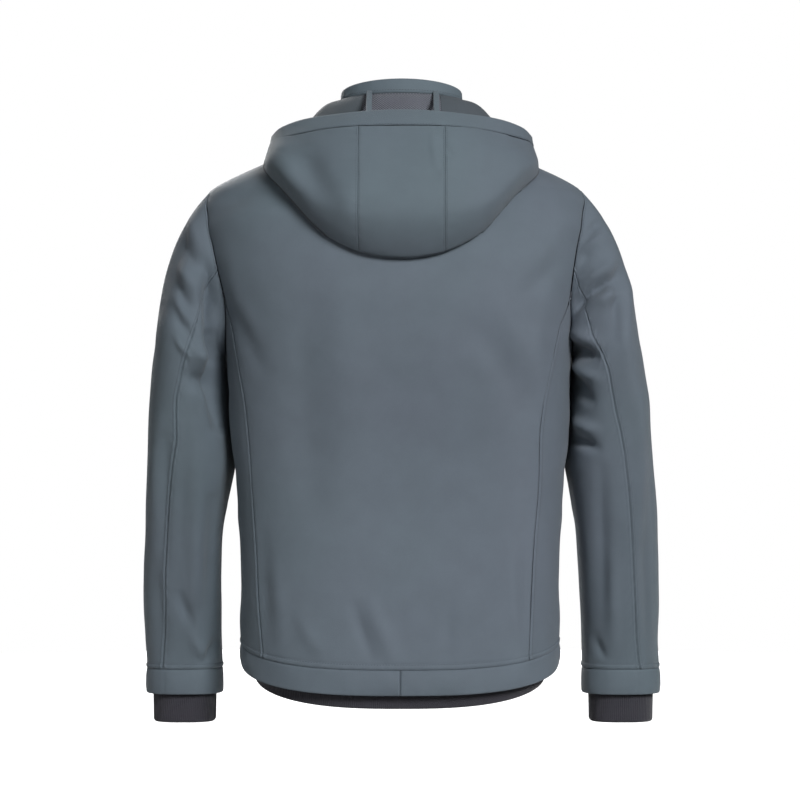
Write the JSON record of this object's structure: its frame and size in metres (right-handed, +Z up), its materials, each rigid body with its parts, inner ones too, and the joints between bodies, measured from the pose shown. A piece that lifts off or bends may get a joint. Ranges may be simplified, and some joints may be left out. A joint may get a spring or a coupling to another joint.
{
  "type": "softshell jacket",
  "caption": "Hooded softshell jacket in its worn shape: stand collar, lowered three-panel hood, two-piece sleeves, front zip, knit inner cuffs and hem.",
  "frame": {"origin": "middle of the neck base, level with the points where neck and shoulders meet", "axes": "+Z up along the body, -Y towards the front, +X towards the jacket's own left side"},
  "size_m": [0.6476, 0.3049, 0.7963],
  "materials": {
    "shell": "smooth matt woven softshell, slate grey",
    "dark_knit": "fine dark rib knit",
    "mesh_lining": "grey melange knitted mesh",
    "dark_lining": "matt dark slate cloth",
    "zip_tape": "woven zip tape with moulded teeth",
    "zip_metal": "dark coated die-cast metal, satin"
  },
  "bodies": {
    "jacket": {"back_panel": "shell", "collar_band": "shell", "collar_stand": "dark_lining", "cuff_band_left": "shell", "cuff_band_right": "shell", "front_panel_left": "shell", "front_panel_right": "shell", "hem_band_left": "shell", "hem_band_right": "shell", "hood_brim": "shell", "hood_centre": "shell", "hood_left": "shell", "hood_loop_left": "shell", "hood_loop_right": "shell", "hood_right": "shell", "inner_cuff_left": "dark_knit", "inner_cuff_right": "dark_knit", "inner_hem_left": "dark_knit", "inner_hem_right": "dark_knit", "lining_left": "dark_lining", "lining_mesh": "mesh_lining", "lining_right": "dark_lining", "side_panel_left": "shell", "side_panel_right": "shell", "top_sleeve_left": "shell", "top_sleeve_right": "shell", "under_sleeve_left": "shell", "under_sleeve_right": "shell", "zip_slider": "zip_metal", "zip_tape_left": "zip_tape", "zip_tape_right": "zip_tape"},
    "pull_tab": {"zip_pull": "zip_metal"}
  },
  "joints": [
    {"name": "pull_tab_hinge", "type": "hinge", "parent": "jacket", "child": "pull_tab", "pos_m": [-0.00201, -0.06924, 0.00379], "axis": [-1, 0, 0], "range_deg": [0, 140]}
  ]
}
